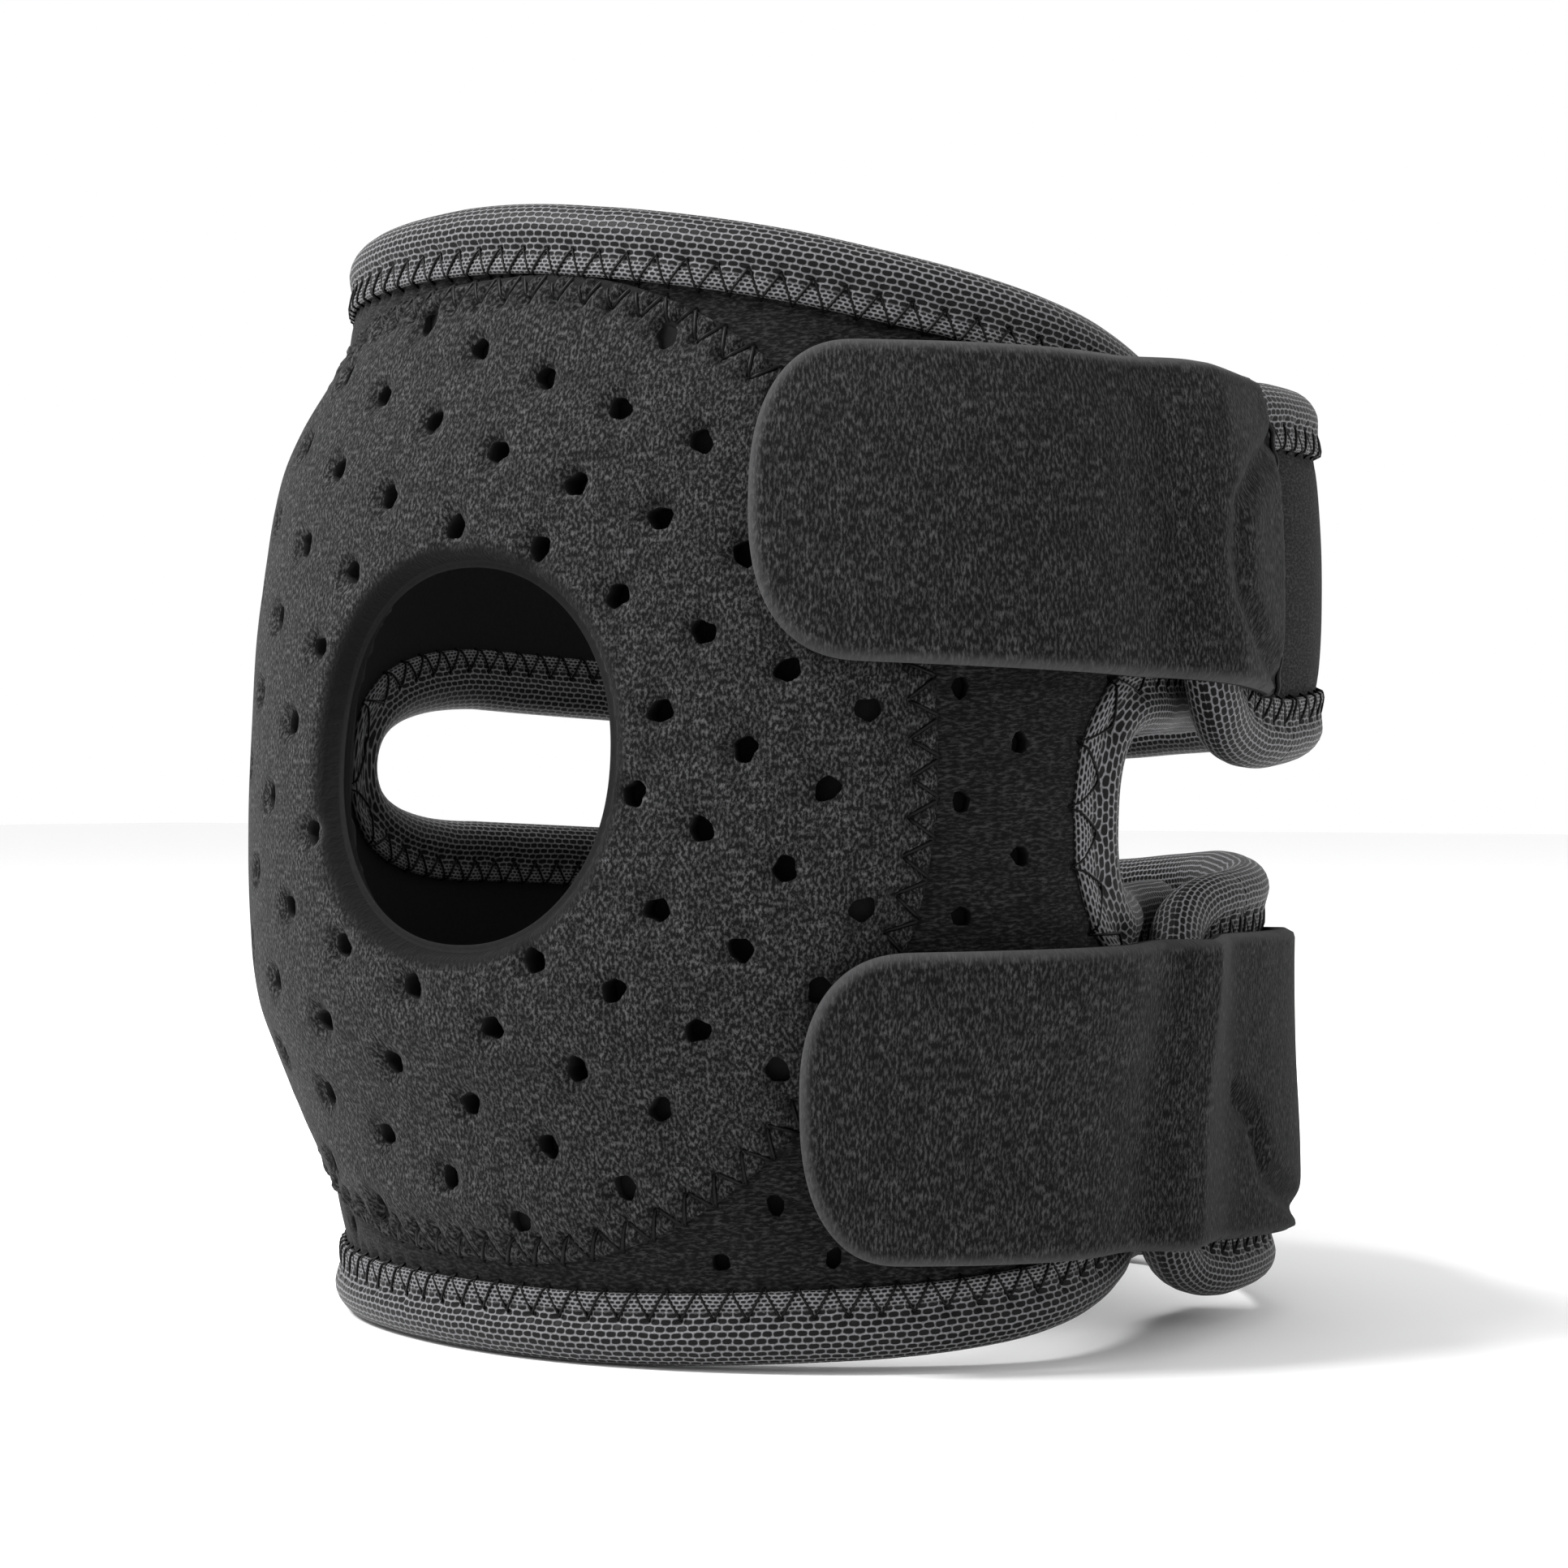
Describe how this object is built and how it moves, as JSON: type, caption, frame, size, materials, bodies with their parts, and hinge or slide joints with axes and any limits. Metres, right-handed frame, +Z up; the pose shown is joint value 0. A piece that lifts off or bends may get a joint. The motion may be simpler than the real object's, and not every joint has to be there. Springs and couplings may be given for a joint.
{
  "type": "elbow compression sleeve",
  "caption": "Perforated neoprene elbow support: an open tube with a moulded elbow cup, a round opening, mesh-bound edges and hook-and-loop closing tabs.",
  "frame": {"origin": "centre of the bounding box at the bottom rim's resting plane", "axes": "+Z up along the sleeve's open axis, -Y out through the middle of the elbow cup, +X towards the closing tabs"},
  "size_m": [0.1412, 0.1292, 0.1352],
  "materials": {
    "panel_fleece": "dark charcoal brushed knit laminated on neoprene",
    "cup_fleece": "heathered charcoal loop fleece laminated on moulded neoprene",
    "mesh_tape": "woven mesh binding tape",
    "tab_fleece": "charcoal loop fleece laminated on neoprene",
    "hook_tape": "black moulded hook tape"
  },
  "bodies": {
    "root": {"base_panel": "panel_fleece", "elbow_cup": "cup_fleece", "top_binding": "mesh_tape", "bottom_binding": "mesh_tape", "slot_binding": "mesh_tape", "notch_binding": "mesh_tape", "upper_tab": "tab_fleece", "lower_tab": "tab_fleece", "upper_hook_patch": "hook_tape", "lower_hook_patch": "hook_tape"}
  },
  "joints": []
}
